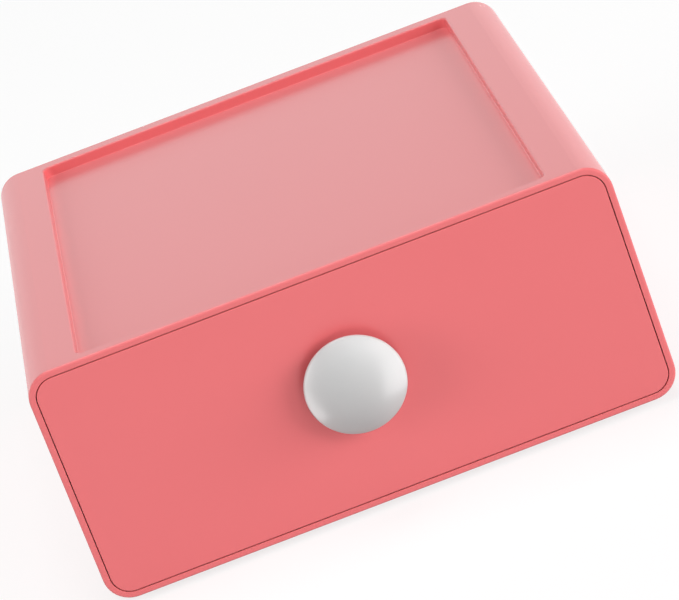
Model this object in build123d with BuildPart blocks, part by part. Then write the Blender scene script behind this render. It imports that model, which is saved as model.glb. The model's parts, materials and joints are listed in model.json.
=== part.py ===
from build123d import *
import os

os.makedirs("parts", exist_ok=True)

# A desktop box with one drawer. Sizes are in millimetres. The front faces -Y and +Z is up.
# The origin is on the table, under the middle of the whole part with its knob.

# Case: a moulded sleeve with a shallow tray sunk in its top
case_width = 177.0
case_depth = 195.0
case_height = 75.0
case_wall = 2.0
case_corner_radius = 8.3
case_edge_round = 0.8
mouth_edge_round = 0.2
tray_side_margin = 17.2
tray_depth = 3.5
tray_floor_wall = 2.0
tray_corner_radius = 3.0
tray_edge_round = 0.6
tray_floor_round = 0.4

# Rails on the case's floor, and the two ribs under its ceiling that stop the drawer
rail_width = 6.0
rail_height = 1.2
rail_spacing = 110.0
rail_setback = 10.0
stop_width = 20.0
stop_thickness = 2.0
stop_drop = 2.5
stop_ramp = 4.0
stop_spacing = 90.0

# Back panel, clipped into a rebate by four snap arms
back_thickness = 2.0
back_ledge = 0.8
back_fit = 0.15
back_edge_round = 0.3
back_tray_gap = 2.2
arm_thickness = 1.4
arm_length = 9.0
arm_width = 10.0
arm_spacing = 34.0
arm_wall_gap = 0.2
hook_catch = 0.7
hook_length = 2.6
hook_land = 0.6
pocket_play = 0.2

# Feet
foot_diameter = 12.0
foot_stand = 1.8
foot_seat_depth = 0.8
foot_fit = 0.15
foot_edge_round = 0.5
foot_inset_x = 24.0
foot_inset_y = 14.0

# Drawer front, flush in the mouth of the case
front_thickness = 2.3
front_gap = 0.28
front_edge_round = 0.3
closing_gap = 0.3
peg_diameter = 4.0
peg_fit = 0.1
stake_diameter = 6.4
stake_height = 1.2
stake_round = 0.9
peg_spacing_x = 130.0
peg_spacing_z = 36.0

# Drawer tub
drawer_travel = 140.0
tub_wall = 1.8
tub_floor = 1.8
tub_side_gap = 0.8
tub_back_room = 12.0
tub_rail_gap = 0.3
tub_corner_radius = 6.0
tub_rim_gap = 0.8
tub_rim_round = 0.6
finger_width = 18.0
finger_slot = 1.6
finger_slot_depth = 14.0
finger_top_gap = 0.5
stop_gap = 0.3

# Knob with its threaded insert, screw and washer
knob_diameter = 30.0
knob_reach = 11.5
knob_rim_reach = 5.5
knob_edge_round = 1.2
knob_rise = 2.6
knob_neck_diameter = 13.0
knob_under_reach = 4.9
knob_under_round = 1.0
insert_diameter = 6.0
insert_groove_depth = 0.3
insert_groove_length = 1.6
insert_fit = 0.05
insert_relief = 0.5
screw_diameter = 4.0
screw_engagement = 5.1
screw_tip_chamfer = 0.4
screw_hole_play = 0.2
thread_fit = 0.05
insert_spare = 0.9
head_diameter = 8.0
head_height = 2.5
head_round = 1.2
recess_span = 4.4
recess_width = 1.0
recess_depth = 1.5
washer_diameter = 9.0
washer_thickness = 0.8
washer_play = 0.15

# Places worked out from the sizes
case_bottom = foot_stand
case_top = case_bottom + case_height
case_middle = case_bottom + case_height / 2
front_y = (knob_reach - case_depth) / 2
back_y = front_y + case_depth
case_y = (front_y + back_y) / 2

mouth_width = case_width - 2 * case_wall
mouth_height = case_height - 2 * case_wall
mouth_radius = case_corner_radius - case_wall
mouth_floor = case_bottom + case_wall

tray_width = case_width - 2 * tray_side_margin
tray_front_y = front_y + front_thickness + closing_gap + case_wall
tray_back_y = back_y - back_thickness - back_tray_gap - case_wall
tray_length = tray_back_y - tray_front_y
tray_y = (tray_front_y + tray_back_y) / 2
tray_floor_z = case_top - tray_depth
ceiling_z = tray_floor_z - tray_floor_wall

front_width = mouth_width - 2 * front_gap
front_height = mouth_height - 2 * front_gap
front_radius = mouth_radius - front_gap

tub_front_y = front_y + front_thickness
tub_back_y = back_y - tub_back_room
tub_length = tub_back_y - tub_front_y
tub_y = (tub_front_y + tub_back_y) / 2
tub_width = mouth_width - 2 * tub_side_gap
tub_bottom = mouth_floor + rail_height + tub_rail_gap
tub_rim = ceiling_z - stop_drop - tub_rim_gap
tub_height = tub_rim - tub_bottom
tub_bottom_round = mouth_radius - tub_side_gap
finger_front_y = tub_back_y - tub_wall
finger_top = ceiling_z - finger_top_gap

stop_back_y = finger_front_y - drawer_travel - stop_gap
rail_front_y = front_y + rail_setback
rail_length = tub_back_y - rail_front_y
rail_y = (rail_front_y + tub_back_y) / 2

pocket_depth = hook_catch + pocket_play
arm_outer_x = mouth_width / 2 - arm_wall_gap
arm_x = arm_outer_x - arm_thickness / 2
arm_front_y = back_y - back_thickness - arm_length
arm_root_y = back_y - back_thickness / 2
arm_y = (arm_front_y + arm_root_y) / 2
pocket_y = arm_front_y + hook_length / 2

knob_z = case_middle + knob_rise
clamp_thickness = front_thickness + tub_wall + washer_thickness
insert_length = screw_engagement + insert_spare
touch = 0.01


def upright(y):
    # A plane across the part at depth y. It faces the front, with its middle at half height.
    return Plane((0, y, case_middle), x_dir=(1, 0, 0), z_dir=(0, -1, 0))


# The knob's axis: local x runs out from the drawer front, local y is the radius
knob_plane = Plane((0, front_y, knob_z), x_dir=(0, -1, 0), z_dir=(-1, 0, 0))
knob_axis = Axis((0, front_y, knob_z), (0, -1, 0))


# Case shell
with BuildPart() as case_shell:
    with BuildSketch(upright(back_y)):
        RectangleRounded(case_width, case_height, case_corner_radius)
    extrude(amount=case_depth)
    fillet(case_shell.faces().filter_by(Axis.Y).edges(), case_edge_round)

    # Cavity, open at both ends
    with BuildSketch(upright(back_y)):
        RectangleRounded(mouth_width, mouth_height, mouth_radius)
    extrude(amount=case_depth, mode=Mode.SUBTRACT)
    mouth_face = case_shell.faces().filter_by(Axis.Y).sort_by(Axis.Y)[0]
    fillet(mouth_face.inner_wires().edges(), mouth_edge_round)

    # Tray: its walls and floor hang from the top skin
    with BuildSketch(Plane.XY.offset(ceiling_z)):
        with Locations((0, tray_y)):
            RectangleRounded(
                tray_width + 2 * case_wall, tray_length + 2 * case_wall, tray_corner_radius + case_wall
            )
    extrude(amount=case_top - case_wall / 2 - ceiling_z)
    with BuildSketch(Plane.XY.offset(case_top)):
        with Locations((0, tray_y)):
            RectangleRounded(tray_width, tray_length, tray_corner_radius)
    extrude(amount=-tray_depth, mode=Mode.SUBTRACT)
    tray_floor = case_shell.faces().filter_by_position(Axis.Z, tray_floor_z - touch, tray_floor_z + touch)
    fillet(tray_floor.edges(), tray_floor_round)
    top_face = case_shell.faces().filter_by(Axis.Z).sort_by(Axis.Z)[-1]
    fillet(top_face.inner_wires().edges(), tray_edge_round)

    # Rails that carry the tub
    with BuildSketch(Plane.XY.offset(mouth_floor)):
        with Locations((0, rail_y)):
            with GridLocations(rail_spacing, 0, 2, 1):
                Rectangle(rail_width, rail_length)
    extrude(amount=rail_height)

    # Stop ribs, ramped on the front so that the tub's fingers slide past them once
    for side in (-1, 1):
        with BuildSketch(Plane.YZ.offset(side * stop_spacing / 2)):
            with BuildLine():
                Polyline(
                    (stop_back_y, tray_floor_z - tray_floor_wall / 2),
                    (stop_back_y, ceiling_z - stop_drop),
                    (stop_back_y - stop_thickness, ceiling_z - stop_drop),
                    (stop_back_y - stop_thickness - stop_ramp, ceiling_z),
                    (stop_back_y - stop_thickness - stop_ramp, tray_floor_z - tray_floor_wall / 2),
                    close=True,
                )
            make_face()
        extrude(amount=stop_width / 2, both=True)

    # Rebate for the back panel, and pockets for its hooks
    with BuildSketch(upright(back_y)):
        RectangleRounded(
            mouth_width + 2 * back_ledge, mouth_height + 2 * back_ledge, mouth_radius + back_ledge
        )
    extrude(amount=back_thickness, mode=Mode.SUBTRACT)
    for side in (-1, 1):
        for level in (-1, 1):
            pocket_x = side * (mouth_width + pocket_depth) / 2
            with Locations((pocket_x, pocket_y, case_middle + level * arm_spacing / 2)):
                Box(
                    pocket_depth,
                    hook_length + 2 * pocket_play,
                    arm_width + 2 * pocket_play,
                    mode=Mode.SUBTRACT,
                )

    # Seats for the feet
    with BuildSketch(Plane.XY.offset(case_bottom)):
        with Locations((0, case_y)):
            with GridLocations(case_width - 2 * foot_inset_x, case_depth - 2 * foot_inset_y, 2, 2):
                Circle(foot_diameter / 2 + foot_fit)
    extrude(amount=foot_seat_depth, mode=Mode.SUBTRACT)
case_shell.part.label = "case_shell"
export_step(case_shell.part, "parts/case_shell.step")


# Back panel
with BuildPart() as back_panel:
    with BuildSketch(upright(back_y)):
        RectangleRounded(
            mouth_width + 2 * (back_ledge - back_fit),
            mouth_height + 2 * (back_ledge - back_fit),
            mouth_radius + back_ledge - back_fit,
        )
    extrude(amount=back_thickness)
    fillet(back_panel.faces().sort_by(Axis.Y)[-1].edges(), back_edge_round)
    for side in (-1, 1):
        for level in (-1, 1):
            arm_z = case_middle + level * arm_spacing / 2
            with Locations((side * arm_x, arm_y, arm_z)):
                Box(arm_thickness, arm_root_y - arm_front_y, arm_width)
            hook_x = mouth_width / 2 + hook_catch
            with BuildSketch(Plane.XY.offset(arm_z - arm_width / 2)):
                with BuildLine():
                    Polyline(
                        (side * arm_x, arm_front_y),
                        (side * arm_outer_x, arm_front_y),
                        (side * hook_x, arm_front_y + hook_length - hook_land),
                        (side * hook_x, arm_front_y + hook_length),
                        (side * arm_x, arm_front_y + hook_length),
                        close=True,
                    )
                make_face()
            extrude(amount=arm_width)
back_panel.part.label = "back_panel"
export_step(back_panel.part, "parts/back_panel.step")


# Feet, seated in the case's underside
for row, row_y in (("front", front_y + foot_inset_y), ("rear", back_y - foot_inset_y)):
    for side, side_x in (("left", foot_inset_x - case_width / 2), ("right", case_width / 2 - foot_inset_x)):
        with BuildPart() as foot:
            with BuildSketch(Plane((side_x, row_y, 0))):
                Circle(foot_diameter / 2)
            extrude(amount=foot_stand + foot_seat_depth)
            fillet(foot.edges().group_by(Axis.Z)[0], foot_edge_round)
        foot.part.label = f"foot_{row}_{side}"
        export_step(foot.part, f"parts/foot_{row}_{side}.step")


# Drawer front
with BuildPart() as drawer_front:
    with BuildSketch(upright(tub_front_y)):
        RectangleRounded(front_width, front_height, front_radius)
    extrude(amount=front_thickness)
    fillet(drawer_front.faces().sort_by(Axis.Y)[0].edges(), front_edge_round)
    # Pegs through the tub's front wall, with their ends melted into flat heads
    with BuildSketch(upright(tub_front_y)):
        with GridLocations(peg_spacing_x, peg_spacing_z, 2, 2):
            Circle(peg_diameter / 2)
    extrude(amount=-tub_wall)
    with BuildSketch(upright(tub_front_y + tub_wall)):
        with GridLocations(peg_spacing_x, peg_spacing_z, 2, 2):
            Circle(stake_diameter / 2)
    extrude(amount=-stake_height)
    fillet(drawer_front.edges().group_by(Axis.Y)[-1], stake_round)

    with BuildSketch(upright(tub_front_y)):
        with Locations((0, knob_rise)):
            Circle(screw_diameter / 2 + screw_hole_play)
    extrude(amount=front_thickness, mode=Mode.SUBTRACT)
drawer_front.part.label = "drawer_front"
export_step(drawer_front.part, "parts/drawer_front.step")


# Drawer tub
with BuildPart() as drawer_tub:
    with BuildSketch(Plane.XY.offset(tub_bottom)):
        with Locations((0, tub_y)):
            RectangleRounded(tub_width, tub_length, tub_corner_radius)
    extrude(amount=tub_height)
    fillet(drawer_tub.faces().sort_by(Axis.Z)[0].edges(), tub_bottom_round)
    tub_floor_z = tub_bottom + tub_floor
    with BuildSketch(Plane.XY.offset(tub_floor_z)):
        with Locations((0, tub_y)):
            RectangleRounded(
                tub_width - 2 * tub_wall, tub_length - 2 * tub_wall, tub_corner_radius - tub_wall
            )
    extrude(amount=tub_height, mode=Mode.SUBTRACT)
    inner_floor = drawer_tub.faces().filter_by_position(Axis.Z, tub_floor_z - touch, tub_floor_z + touch)
    fillet(inner_floor.edges(), tub_bottom_round - tub_wall)
    fillet(drawer_tub.faces().sort_by(Axis.Z)[-1].edges(), min(tub_rim_round, 0.4 * tub_wall))

    # Spring fingers in the rear wall, which meet the stop ribs
    finger_foot = tub_rim - finger_slot_depth
    for side in (-1, 1):
        finger_x = side * stop_spacing / 2
        with Locations((finger_x, tub_back_y - tub_wall / 2, (finger_foot + finger_top) / 2)):
            Box(finger_width, tub_wall, finger_top - finger_foot)
        for edge in (-1, 1):
            slot_x = finger_x + edge * (finger_width + finger_slot) / 2
            with Locations((slot_x, tub_back_y - tub_wall / 2, (finger_foot + finger_top) / 2)):
                Box(finger_slot, 2 * tub_wall, finger_top - finger_foot, mode=Mode.SUBTRACT)

    # Holes for the front's pegs and the knob's screw
    with BuildSketch(upright(tub_front_y + tub_wall)):
        with GridLocations(peg_spacing_x, peg_spacing_z, 2, 2):
            Circle(peg_diameter / 2 + peg_fit)
        with Locations((0, knob_rise)):
            Circle(screw_diameter / 2 + screw_hole_play)
    extrude(amount=tub_wall, mode=Mode.SUBTRACT)
drawer_tub.part.label = "drawer_tub"
export_step(drawer_tub.part, "parts/drawer_tub.step")


# Knob: a low dome that runs smoothly into a rounded rim, dished behind, on a short neck
knob_radius = knob_diameter / 2
rim_radius = knob_radius - knob_edge_round
dome_rise = knob_reach - knob_rim_reach
dome_radius = (dome_rise**2 + rim_radius**2 - knob_edge_round**2) / (2 * (dome_rise - knob_edge_round))
dome_centre = knob_reach - dome_radius
dome_share = dome_radius / (dome_radius - knob_edge_round)
dome_end = (dome_centre + (knob_rim_reach - dome_centre) * dome_share, rim_radius * dome_share)
rim_end = (knob_rim_reach - knob_edge_round, rim_radius)
neck_radius = knob_neck_diameter / 2
pocket_radius = insert_diameter / 2 + insert_fit
with BuildPart() as knob:
    with BuildSketch(knob_plane):
        with BuildLine():
            TangentArc((knob_reach, 0), dome_end, tangent=(0, 1))
            ThreePointArc(dome_end, (knob_rim_reach, knob_radius), rim_end)
            Polyline(
                rim_end,
                (knob_under_reach, neck_radius),
                (0, neck_radius),
                (0, pocket_radius),
                (insert_length + insert_relief, pocket_radius),
                (insert_length + insert_relief, 0),
                (knob_reach, 0),
            )
        make_face()
    revolve(axis=knob_axis)
    rings = knob.edges().filter_by(GeomType.CIRCLE)
    neck_rings = rings.filter_by(lambda ring: abs(ring.radius - neck_radius) < touch)
    fillet(neck_rings.sort_by(Axis.Y)[0], knob_under_round)
knob.part.label = "knob"
export_step(knob.part, "parts/knob.step")


# Threaded insert, set in the knob's neck
insert_radius = insert_diameter / 2
with BuildPart() as knob_insert:
    with BuildSketch(knob_plane):
        with BuildLine():
            Polyline(
                (0, screw_diameter / 2 + thread_fit),
                (0, insert_radius),
                ((insert_length - insert_groove_length) / 2, insert_radius),
                ((insert_length - insert_groove_length) / 2, insert_radius - insert_groove_depth),
                ((insert_length + insert_groove_length) / 2, insert_radius - insert_groove_depth),
                ((insert_length + insert_groove_length) / 2, insert_radius),
                (insert_length, insert_radius),
                (insert_length, screw_diameter / 2 + thread_fit),
                close=True,
            )
        make_face()
    revolve(axis=knob_axis)
knob_insert.part.label = "knob_insert"
export_step(knob_insert.part, "parts/knob_insert.step")


# Screw, from inside the tub, with a cross recess in its pan head
with BuildPart() as knob_screw:
    with BuildSketch(knob_plane):
        with BuildLine():
            Polyline(
                (-clamp_thickness - head_height, 0),
                (-clamp_thickness - head_height, head_diameter / 2),
                (-clamp_thickness, head_diameter / 2),
                (-clamp_thickness, screw_diameter / 2),
                (screw_engagement, screw_diameter / 2),
                (screw_engagement, 0),
                close=True,
            )
        make_face()
    revolve(axis=knob_axis)
    fillet(knob_screw.edges().filter_by(GeomType.CIRCLE).sort_by(Axis.Y)[-1], head_round)
    chamfer(knob_screw.edges().filter_by(GeomType.CIRCLE).sort_by(Axis.Y)[0], screw_tip_chamfer)
    with Locations((0, front_y + clamp_thickness + head_height - recess_depth / 2, knob_z)):
        Box(recess_span, recess_depth, recess_width, mode=Mode.SUBTRACT)
        Box(recess_width, recess_depth, recess_span, mode=Mode.SUBTRACT)
knob_screw.part.label = "knob_screw"
export_step(knob_screw.part, "parts/knob_screw.step")


# Washer under the screw's head
with BuildPart() as knob_washer:
    with BuildSketch(Plane((0, tub_front_y + tub_wall, knob_z), x_dir=(1, 0, 0), z_dir=(0, 1, 0))):
        Circle(washer_diameter / 2)
        Circle(screw_diameter / 2 + washer_play, mode=Mode.SUBTRACT)
    extrude(amount=washer_thickness)
knob_washer.part.label = "knob_washer"
export_step(knob_washer.part, "parts/knob_washer.step")
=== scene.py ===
import bpy
import json
import math
from mathutils import Matrix, Vector


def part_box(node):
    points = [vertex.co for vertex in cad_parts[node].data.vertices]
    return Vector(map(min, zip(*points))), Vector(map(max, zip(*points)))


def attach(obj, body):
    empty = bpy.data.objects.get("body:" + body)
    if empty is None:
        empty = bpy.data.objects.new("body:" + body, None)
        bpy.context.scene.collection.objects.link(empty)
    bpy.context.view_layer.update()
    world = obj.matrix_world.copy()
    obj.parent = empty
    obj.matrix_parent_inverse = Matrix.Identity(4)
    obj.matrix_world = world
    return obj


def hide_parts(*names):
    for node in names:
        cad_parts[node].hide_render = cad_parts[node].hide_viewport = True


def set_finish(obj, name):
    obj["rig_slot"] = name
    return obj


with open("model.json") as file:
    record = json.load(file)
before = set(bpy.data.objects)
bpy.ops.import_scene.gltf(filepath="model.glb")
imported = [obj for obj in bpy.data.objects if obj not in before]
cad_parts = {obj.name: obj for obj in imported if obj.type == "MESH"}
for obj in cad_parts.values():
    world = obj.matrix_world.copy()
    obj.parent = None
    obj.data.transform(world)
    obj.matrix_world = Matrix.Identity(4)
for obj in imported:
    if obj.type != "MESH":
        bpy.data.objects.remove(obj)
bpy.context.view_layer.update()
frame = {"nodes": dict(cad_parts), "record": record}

mm = 0.001
print("frame loaded:", len(frame["nodes"]), "nodes")


# Small helpers

def linearFromHex(hexText):
    parts = [int(hexText[i:i + 2], 16) / 255 for i in (1, 3, 5)]
    flat = [c / 12.92 if c <= 0.04045 else ((c + 0.055) / 1.055) ** 2.4 for c in parts]
    return (*flat, 1.0)


def addNode(tree, kind, values=None, links=None, **settings):
    node = tree.nodes.new(kind)
    for name, value in settings.items():
        setattr(node, name, value)
    for socket, value in (values or {}).items():
        node.inputs[socket].default_value = value
    for socket, source in (links or {}).items():
        tree.links.new(source, node.inputs[socket])
    return node


def startMaterial(name):
    material = bpy.data.materials.new(name)
    material.use_nodes = True
    tree = material.node_tree
    tree.nodes.clear()
    output = addNode(tree, "ShaderNodeOutputMaterial")
    return material, tree, output.inputs["Surface"]


# Camera, placed from the middle of the case's lower front edge

cameraSet = {
    "aside": -2.62 * mm,
    "inFront": 960.31 * mm,
    "above": 416.88 * mm,
    "pan": -0.41,        # degrees
    "tiltDown": 20.185,
    "roll": -20.65,
    "focalPixels": 3600,
    "imageWidth": 679,
    "sensor": 36.0,
}
caseLow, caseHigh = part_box("case_shell")
frontFoot = Vector(((caseLow.x + caseHigh.x) / 2, caseLow.y, caseLow.z))


def makeCamera(s):
    data = bpy.data.cameras.new("photoCamera")
    data.sensor_fit = "HORIZONTAL"
    data.sensor_width = s["sensor"]
    data.lens = s["focalPixels"] / s["imageWidth"] * s["sensor"]
    camera = bpy.data.objects.new("photoCamera", data)
    bpy.context.scene.collection.objects.link(camera)
    place = frontFoot + Vector((s["aside"], -s["inFront"], s["above"]))
    camera.matrix_world = (
        Matrix.Translation(place)
        @ Matrix.Rotation(math.radians(s["pan"]), 4, "Z")
        @ Matrix.Rotation(math.radians(90 - s["tiltDown"]), 4, "X")
        @ Matrix.Rotation(math.radians(s["roll"]), 4, "Z")
    )
    bpy.context.scene.camera = camera


makeCamera(cameraSet)
print("camera set")


# Turned shapes: rings are extruded one after another along an axis

def arcStations(centre, radius, start, end, steps):
    turns = [start + (end - start) * i / steps for i in range(1, steps + 1)]
    return [(centre[0] + radius * math.cos(t), centre[1] + radius * math.sin(t)) for t in turns]


def turnPiece(name, stations, foot, axis, sides):
    bpy.ops.object.select_all(action="DESELECT")
    reach, radius = stations[0]
    bpy.ops.mesh.primitive_circle_add(
        vertices=sides, radius=radius, fill_type="NGON",
        location=foot + axis * reach, rotation=axis.to_track_quat("Z", "Y").to_euler(),
    )
    piece = bpy.context.object
    piece.name = name
    bpy.ops.object.mode_set(mode="EDIT")
    bpy.ops.mesh.select_mode(type="EDGE")
    bpy.ops.mesh.select_all(action="SELECT")
    for nextReach, nextRadius in stations[1:]:
        bpy.ops.mesh.extrude_edges_indiv()
        bpy.ops.transform.translate(value=axis * (nextReach - reach))
        if nextRadius > 0:
            grow = nextRadius / radius
            bpy.ops.transform.resize(value=(grow, grow, grow), center_override=foot + axis * nextReach)
        else:
            bpy.ops.mesh.merge(type="CENTER")
        reach, radius = nextReach, nextRadius
    bpy.ops.mesh.select_all(action="SELECT")
    bpy.ops.mesh.normals_make_consistent(inside=False)
    bpy.ops.object.mode_set(mode="OBJECT")
    bpy.ops.object.transform_apply(location=True, rotation=True, scale=True)
    return piece


def shadeSmooth(piece, degrees):
    bpy.ops.object.select_all(action="DESELECT")
    piece.select_set(True)
    bpy.context.view_layer.objects.active = piece
    bpy.ops.object.shade_smooth_by_angle(angle=math.radians(degrees))


# Knob: a low dome on a short neck, with a pocket behind for its threaded insert

knobSet = {
    "rimReach": 5.5 * mm,     # from the drawer front to the widest ring
    "edgeRound": 1.2 * mm,
    "neckRadius": 6.5 * mm,
    "underReach": 4.9 * mm,   # where the sloping underside would meet the neck
    "underRound": 1.0 * mm,
    "pocketPlay": 0.05 * mm,
    "pocketRelief": 0.5 * mm,
    "sides": 144,
    "domeRings": 24,
    "rimRings": 14,
    "underRings": 6,
    "creaseAngle": 40,        # degrees
}


def makeKnob(s):
    low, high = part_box("knob")
    insertLow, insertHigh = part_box("knob_insert")
    foot = Vector(((low.x + high.x) / 2, high.y, (low.z + high.z) / 2))
    fullReach = high.y - low.y
    radius = (high.x - low.x) / 2
    rimRadius = radius - s["edgeRound"]
    rise = fullReach - s["rimReach"]
    domeRadius = (rise ** 2 + rimRadius ** 2 - s["edgeRound"] ** 2) / (2 * (rise - s["edgeRound"]))
    domeCentre = fullReach - domeRadius
    domeTurn = math.atan2(rimRadius, s["rimReach"] - domeCentre)

    # the hollow round goes from the neck into the sloping underside
    underEnd = s["rimReach"] - s["edgeRound"]
    slope = (s["underReach"] - underEnd) / (rimRadius - s["neckRadius"])
    lean = math.atan(slope)
    hollow = s["underRound"]
    hollowReach = s["underReach"] - slope * hollow - hollow / math.cos(lean)
    pocketRadius = (insertHigh.x - insertLow.x) / 2 + s["pocketPlay"]
    pocketDepth = insertHigh.y - insertLow.y + s["pocketRelief"]
    stations = [
        (pocketDepth, pocketRadius),
        (0, pocketRadius),
        (0, s["neckRadius"]),
        (hollowReach, s["neckRadius"]),
    ]
    stations += arcStations(
        (hollowReach, s["neckRadius"] + hollow), hollow, -math.pi / 2, lean, s["underRings"]
    )
    stations += [(underEnd, rimRadius)]
    stations += arcStations((s["rimReach"], rimRadius), s["edgeRound"], math.pi, domeTurn, s["rimRings"])
    stations += arcStations((domeCentre, 0), domeRadius, domeTurn, 0, s["domeRings"])[:-1]
    stations += [(fullReach, 0)]
    knob = turnPiece("moulded_knob", stations, foot, Vector((0, -1, 0)), s["sides"])
    shadeSmooth(knob, s["creaseAngle"])
    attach(knob, "drawer")
    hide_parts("knob")
    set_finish(knob, "knob_plastic")
    return knob


knob = makeKnob(knobSet)
print("knob turned:", len(knob.data.polygons), "faces")


# Feet: silicone pads with a soft lower edge and a shallow dish under the middle

footSet = {
    "places": ("front_left", "front_right", "rear_left", "rear_right"),
    "topChamfer": 0.15 * mm,
    "edgeRound": 0.8 * mm,
    "ringWidth": 1.5 * mm,
    "dishDepth": 0.25 * mm,
    "dishRun": 0.5 * mm,
    "sides": 72,
    "edgeRings": 8,
    "creaseAngle": 40,
}


def makeFeet(s):
    low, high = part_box("foot_" + s["places"][0])
    foot = Vector(((low.x + high.x) / 2, (low.y + high.y) / 2, high.z))
    height = high.z - low.z
    radius = (high.x - low.x) / 2
    flat = radius - s["edgeRound"]
    dish = flat - s["ringWidth"]
    stations = [
        (0, radius - s["topChamfer"]),
        (s["topChamfer"], radius),
        (height - s["edgeRound"], radius),
    ]
    stations += arcStations(
        (height - s["edgeRound"], flat), s["edgeRound"], math.pi / 2, 0, s["edgeRings"]
    )
    stations += [
        (height, dish),
        (height - s["dishDepth"], dish - s["dishRun"]),
        (height - s["dishDepth"], 0),
    ]
    first = turnPiece("pad_" + s["places"][0], stations, foot, Vector((0, 0, -1)), s["sides"])
    shadeSmooth(first, s["creaseAngle"])
    pads = [first]
    for place in s["places"][1:]:
        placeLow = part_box("foot_" + place)[0]
        bpy.ops.object.select_all(action="DESELECT")
        first.select_set(True)
        bpy.context.view_layer.objects.active = first
        bpy.ops.object.duplicate(linked=False)
        pad = bpy.context.object
        pad.name = "pad_" + place
        pad.location = placeLow - low
        bpy.ops.object.transform_apply(location=True, rotation=True, scale=True)
        pads.append(pad)
    for pad, place in zip(pads, s["places"]):
        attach(pad, "case")
        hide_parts("foot_" + place)
        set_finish(pad, "foot_rubber")
    return pads


pads = makeFeet(footSet)
print("feet made:", len(pads))


# Finishes: two tones that drift slowly, and a fine relief

noiseSet = {
    "drift": {"Detail": 3.0, "Roughness": 0.45},
    "grain": {"Detail": 2.0, "Roughness": 0.6},
    "grainSpan": (0.3, 0.7),   # nearly all of the grain's values lie between these
}


def addPinMarks(tree, coords, s, under):
    fromMiddle = addNode(
        tree, "ShaderNodeVectorMath", {1: s["middle"]}, {0: coords}, operation="SUBTRACT"
    )
    oneQuarter = addNode(
        tree, "ShaderNodeVectorMath", None, {0: fromMiddle.outputs[0]}, operation="ABSOLUTE"
    )
    fromPin = addNode(
        tree, "ShaderNodeVectorMath", {1: s["spread"]}, {0: oneQuarter.outputs[0]}, operation="DISTANCE"
    )
    step = addNode(
        tree, "ShaderNodeMapRange",
        {"From Min": s["radius"] - s["edge"], "From Max": s["radius"]},
        {"Value": fromPin.outputs["Value"]},
    )
    return addNode(
        tree, "ShaderNodeBump",
        {"Strength": 1.0, "Distance": s["depth"]},
        {"Height": step.outputs["Result"], "Normal": under.outputs["Normal"]},
    )


def makeFinish(s):
    material, tree, surface = startMaterial(s["name"])
    coords = addNode(tree, "ShaderNodeTexCoord").outputs["Object"]
    drift = addNode(
        tree, "ShaderNodeTexNoise",
        {"Scale": 1 / s["driftSize"], **noiseSet["drift"]},
        {"Vector": coords},
    )
    grain = addNode(
        tree, "ShaderNodeTexNoise",
        {"Scale": 1 / s["grainSize"], **noiseSet["grain"]},
        {"Vector": coords},
    )
    tone = addNode(tree, "ShaderNodeMix", None, {"Factor": drift.outputs["Fac"]}, data_type="RGBA")
    tone.inputs["A"].default_value = linearFromHex(s["tones"][0])
    tone.inputs["B"].default_value = linearFromHex(s["tones"][1])
    low, high = noiseSet["grainSpan"]
    smooth, rough = s["roughness"]
    gloss = addNode(
        tree, "ShaderNodeMapRange",
        {"From Min": low, "From Max": high, "To Min": smooth, "To Max": rough},
        {"Value": grain.outputs["Fac"]},
    )
    relief = addNode(
        tree, "ShaderNodeBump",
        {"Strength": 1.0, "Distance": s["grainDepth"]},
        {"Height": grain.outputs["Fac"]},
    )
    if "pins" in s:
        relief = addPinMarks(tree, coords, s["pins"], relief)
    shader = addNode(
        tree, "ShaderNodeBsdfPrincipled", s["shader"],
        {
            "Base Color": tone.outputs["Result"],
            "Roughness": gloss.outputs["Result"],
            "Normal": relief.outputs["Normal"],
        },
    )
    tree.links.new(shader.outputs["BSDF"], surface)
    return material


# Satin moulded ABS: one even coral pigment, a hint of spark grain, and a pale haze at low angles
coralSet = {
    "name": "coralAbsSatinMoulded",
    "tones": ("#E46C6F", "#E56E71"),
    "driftSize": 45 * mm,      # slow pigment drift along the flow of the melt
    "grainSize": 1.2 * mm,     # the tool's grain is near 0.1 mm, drawn coarser so that it shows
    "grainDepth": 0.0004 * mm,
    "roughness": (0.23, 0.26),
    "shader": {"IOR": 1.54, "Sheen Weight": 0.16, "Sheen Roughness": 0.5},
}

# The drawer is moulded from the same ABS, and its floor shows the marks of four ejector pins
tubLow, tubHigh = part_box("drawer_tub")
tubFloor = 1.8 * mm            # thickness of the drawer's floor
drawerSet = {
    **coralSet,
    "name": "coralAbsDrawerMoulded",
    "pins": {
        "middle": ((tubLow.x + tubHigh.x) / 2, (tubLow.y + tubHigh.y) / 2, tubLow.z + tubFloor),
        "spread": (52 * mm, 56 * mm, 0),
        "radius": 4 * mm,
        "edge": 0.3 * mm,
        "depth": 0.08 * mm,
    },
}

# Gloss moulded ABS: a cool white with a soft, slightly wavy shine
whiteSet = {
    "name": "whiteAbsGlossMoulded",
    "tones": ("#C2C2C2", "#C4C4C4"),
    "driftSize": 9 * mm,
    "grainSize": 2.5 * mm,     # slow waviness left by the cooling skin
    "grainDepth": 0.0006 * mm,
    "roughness": (0.28, 0.29),
    "shader": {"IOR": 1.54},
}

# Turned brass: a warm yellow metal, dulled a little by handling
brassSet = {
    "name": "brassTurned",
    "tones": ("#C8A45E", "#B9924A"),
    "driftSize": 4 * mm,
    "grainSize": 0.4 * mm,     # the tool's feed marks are near 0.1 mm, drawn coarser so that they show
    "grainDepth": 0.002 * mm,
    "roughness": (0.28, 0.36),
    "shader": {"Metallic": 1.0},
}

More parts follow.
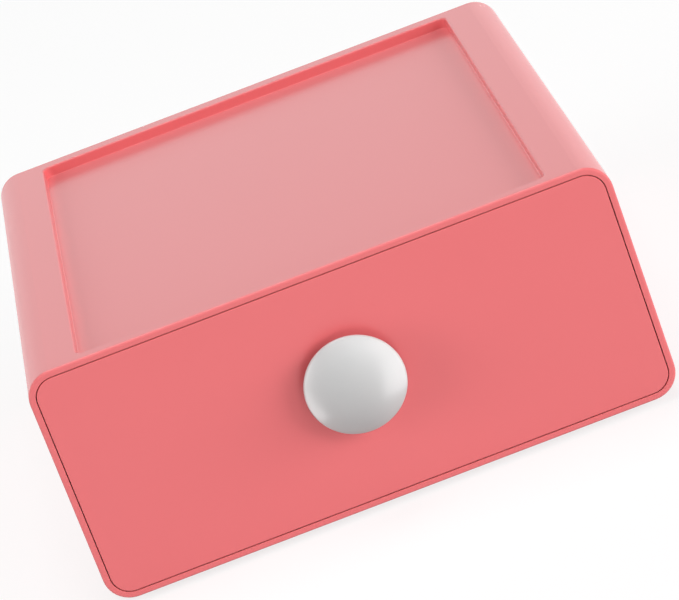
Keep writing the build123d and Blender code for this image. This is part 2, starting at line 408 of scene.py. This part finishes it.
# Zinc-plated steel: a cool grey metal with a faintly cloudy plating
zincSet = {
    "name": "steelZincPlated",
    "tones": ("#C3C6C9", "#AEB2B8"),
    "driftSize": 3 * mm,
    "grainSize": 0.3 * mm,     # plating crystals are a few microns, drawn coarser so that they show
    "grainDepth": 0.0015 * mm,
    "roughness": (0.28, 0.38),
    "shader": {"Metallic": 1.0},
}

# Moulded silicone rubber: a matt, milky grey that lets a little light in
siliconeSet = {
    "name": "siliconeRubberMoulded",
    "tones": ("#BEBBB5", "#B4B1AB"),
    "driftSize": 6 * mm,
    "grainSize": 0.35 * mm,    # bloom on the skin is finer, drawn coarser so that it shows
    "grainDepth": 0.004 * mm,
    "roughness": (0.5, 0.62),
    "shader": {"IOR": 1.41, "Subsurface Weight": 0.15, "Subsurface Scale": 1.5 * mm},
}

finishes = {
    "case_plastic": makeFinish(coralSet),
    "drawer_plastic": makeFinish(drawerSet),
    "knob_plastic": makeFinish(whiteSet),
    "insert_brass": makeFinish(brassSet),
    "fastener_steel": makeFinish(zincSet),
    "foot_rubber": makeFinish(siliconeSet),
}
for part in frame["record"]["subparts"]:
    frame["nodes"][part["node"]].material_slots[0].material = finishes[part["material_slot"]]
for piece in (knob, *pads):
    piece.data.materials.append(finishes[piece["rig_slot"]])
print("finishes given:", len(finishes), "slots")


# Floor and world: a white sweep that shows as white and keeps a faint shadow

stageSet = {
    "floorSize": 12.0,
    "floorDrop": 0.1 * mm,     # keeps the floor clear of the undersides of the feet
    "floorColour": "#B4B4B4",  # what the floor throws back on the object
    "shadowShare": 0.53,       # how much of the lit floor shows, the rest is plain white
    "floorLift": 0.78,         # the plain white that is added to it
    "worldAmbient": 0.03,
}


# Rays that show the white background, where all others meet the plain lit floor and a dim room
def addShownRays(tree):
    path = addNode(tree, "ShaderNodeLightPath")
    direct = addNode(
        tree, "ShaderNodeMath", None,
        {0: path.outputs["Is Camera Ray"], 1: path.outputs["Is Glossy Ray"]}, operation="MAXIMUM",
    )
    shown = addNode(
        tree, "ShaderNodeMath", None,
        {0: direct.outputs[0], 1: path.outputs["Is Transmission Ray"]}, operation="MAXIMUM",
    )
    return shown.outputs[0]


def makeFloor(s):
    bpy.ops.object.select_all(action="DESELECT")
    bpy.ops.mesh.primitive_plane_add(size=s["floorSize"], location=(0, 0, -s["floorDrop"]))
    floor = bpy.context.object
    floor.name = "studioFloor"
    material, tree, surface = startMaterial("paperSweepWhite")
    litColour = linearFromHex(s["floorColour"])
    shownColour = [c * s["shadowShare"] for c in litColour[:3]] + [1]
    lit = addNode(tree, "ShaderNodeBsdfDiffuse", {"Color": litColour})
    part = addNode(tree, "ShaderNodeBsdfDiffuse", {"Color": shownColour})
    glow = addNode(tree, "ShaderNodeEmission", {"Strength": s["floorLift"]})
    seen = addNode(tree, "ShaderNodeAddShader", None, {0: part.outputs[0], 1: glow.outputs[0]})
    mixed = addNode(
        tree, "ShaderNodeMixShader", None,
        {0: addShownRays(tree), 1: lit.outputs[0], 2: seen.outputs[0]},
    )
    tree.links.new(mixed.outputs[0], surface)
    floor.data.materials.append(material)


def makeWorld(s):
    world = bpy.data.worlds.new("studioWorld")
    bpy.context.scene.world = world
    world.use_nodes = True
    tree = world.node_tree
    tree.nodes.clear()
    level = addNode(
        tree, "ShaderNodeMapRange",
        {"To Min": s["worldAmbient"], "To Max": 1.0},
        {"Value": addShownRays(tree)},
    )
    back = addNode(tree, "ShaderNodeBackground", None, {"Strength": level.outputs["Result"]})
    addNode(tree, "ShaderNodeOutputWorld", None, {"Surface": back.outputs[0]})


makeFloor(stageSet)
makeWorld(stageSet)
print("floor and world made")


# Softboxes round the box. Azimuth 0 is in front of the drawer, 90 is on the right of someone facing it.

lightAway = 3.0
aimHeight = 40 * mm            # every softbox points at this height on the drawer front
# Only the knob mirrors these lamps, because they would glare on the top when it is seen from behind
knobGloss = {"mattOnly": True, "knobTwin": True}
lightSet = [
    {
        "name": "rightSoftbox", "azimuth": 66, "elevation": 14, "size": (3.0, 1.7), "watts": 85,
        **knobGloss,
    },
    {
        "name": "frontRightFill", "azimuth": 27, "elevation": 20, "size": (1.6, 2.0), "watts": 16,
        **knobGloss,
    },
    {
        "name": "lowFrontFill", "azimuth": 0, "elevation": 0, "size": (2.0, 0.07), "watts": 18,
        "mattOnly": True, "lights": "allButKnob",
    },
    {
        "name": "knobKey", "azimuth": 45, "elevation": 42, "size": (2.0, 2.0), "watts": 22,
        "lights": "knobOnly",
    },
    {
        "name": "lowBackFill", "azimuth": 180, "elevation": 0, "size": (2.0, 0.07), "watts": 55,
        "mattOnly": True,
    },
    {
        "name": "leftSoftbox", "azimuth": -75, "elevation": 19, "size": (1.5, 1.8), "watts": 53,
        **knobGloss,
    },
    {"name": "topFrontFill", "azimuth": -5, "elevation": 54, "size": (2.2, 2.2), "watts": 7},
    {"name": "overheadSoftbox", "azimuth": 180, "elevation": 80, "size": (1.7, 1.7), "watts": 37},
    {
        "name": "backSheen", "azimuth": 180, "elevation": 18, "size": (5.0, 1.8), "watts": 9,
        "sheenOnly": True,
    },
]

# White cards on the table beside the knob, flagged off from all but the knob, which mirrors them
cardSize = (0.9, 0.45)
cardLift = 1 * mm
cardSet = [
    {"name": "leftCard", "place": (-544 * mm, -4 * mm), "turn": 24, "size": cardSize, "watts": 5.4},
    {"name": "rightCard", "place": (495 * mm, -221 * mm), "turn": -48, "size": cardSize, "watts": 4.7},
]

# Flags: what a lamp may light, where that isn't everything
knobOnly = bpy.data.collections.new("knobOnly")
knobOnly.objects.link(knob)
allButKnob = bpy.data.collections.new("allButKnob")
allButKnob.objects.link(knob)
allButKnob.collection_objects[0].light_linking.link_state = "EXCLUDE"
flags = {"knobOnly": knobOnly, "allButKnob": allButKnob}


def makeLamp(s, place, turn):
    data = bpy.data.lights.new(s["name"], "AREA")
    data.shape = "RECTANGLE"
    data.size, data.size_y = s["size"]
    data.energy = s["watts"]
    light = bpy.data.objects.new(s["name"], data)
    bpy.context.scene.collection.objects.link(light)
    light.location = place
    light.rotation_euler = turn
    light.visible_camera = False
    return light


def makeSoftbox(s):
    side, up = math.radians(s["azimuth"]), math.radians(s["elevation"])
    way = Vector((math.sin(side) * math.cos(up), -math.cos(side) * math.cos(up), math.sin(up)))
    place = frontFoot + Vector((0, 0, aimHeight)) + way * lightAway
    turn = (-way).to_track_quat("-Z", "Y").to_euler()
    light = makeLamp(s, place, turn)
    light.visible_diffuse = not s.get("sheenOnly", False)
    light.visible_glossy = not s.get("mattOnly", False)
    if "lights" in s:
        light.light_linking.receiver_collection = flags[s["lights"]]
    if "knobTwin" in s:
        twin = makeLamp({**s, "name": s["name"] + "Gloss"}, place, turn)
        twin.visible_diffuse = False
        twin.light_linking.receiver_collection = knobOnly


def makeCard(s):
    place = Vector((frontFoot.x + s["place"][0], frontFoot.y + s["place"][1], cardLift))
    card = makeLamp(s, place, (math.pi, 0, math.radians(s["turn"])))
    card.visible_diffuse = False
    card.light_linking.receiver_collection = knobOnly


for one in lightSet:
    makeSoftbox(one)
for one in cardSet:
    makeCard(one)
bpy.context.scene.view_settings.view_transform = "Standard"
print("lights set:", len(bpy.data.lights))
